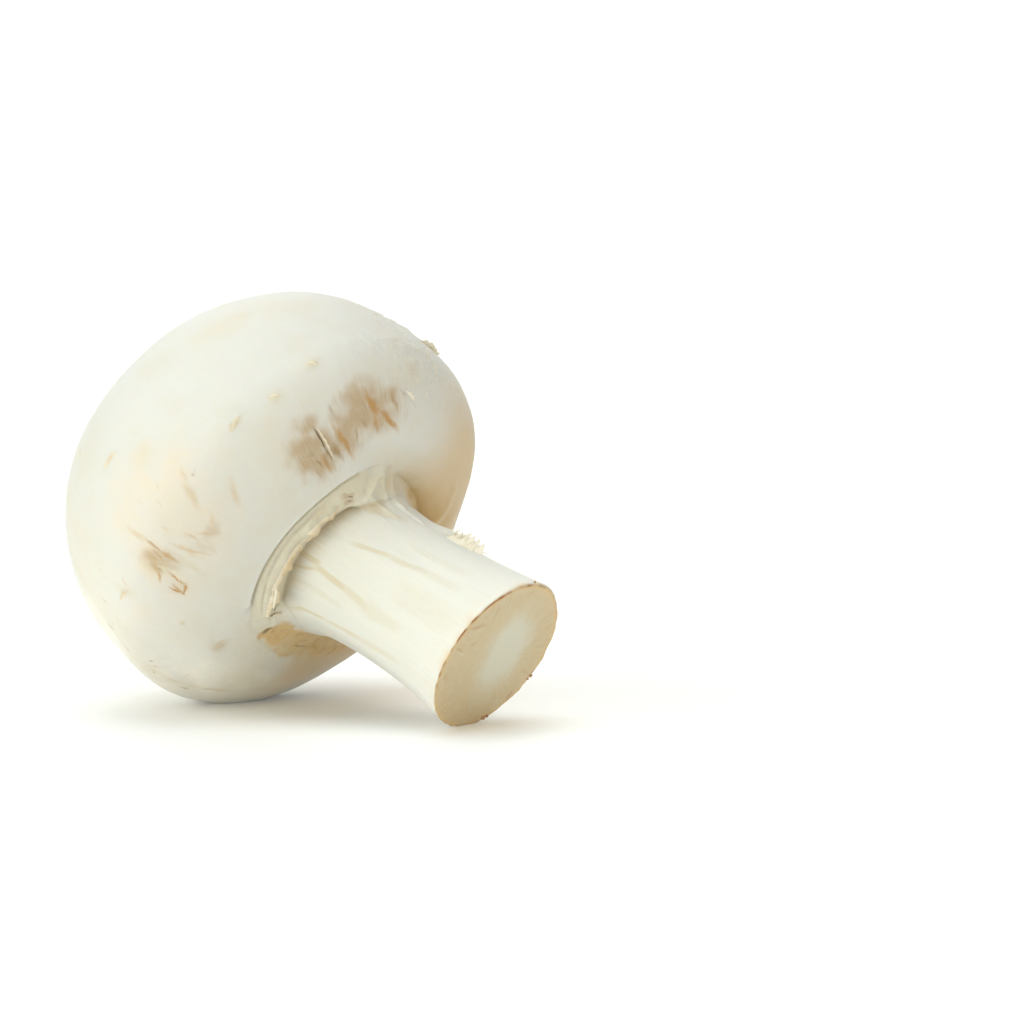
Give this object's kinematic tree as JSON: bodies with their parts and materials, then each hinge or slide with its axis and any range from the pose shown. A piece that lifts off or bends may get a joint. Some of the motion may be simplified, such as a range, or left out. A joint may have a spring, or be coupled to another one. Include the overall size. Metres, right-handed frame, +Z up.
{
  "type": "button mushroom",
  "caption": "Closed-cup button mushroom lying on its side: domed cap, rolled margin, veil remnant and a cut stem, grown as one body.",
  "frame": {"origin": "centre of the bounding box, on the surface the mushroom lies on", "axes": "+X from the cap towards the cut end of the stem, +Z up"},
  "size_m": [0.059, 0.0502, 0.0479],
  "materials": {
    "flesh": "matte"
  },
  "bodies": {
    "root": {"button_mushroom": "flesh"}
  },
  "joints": []
}
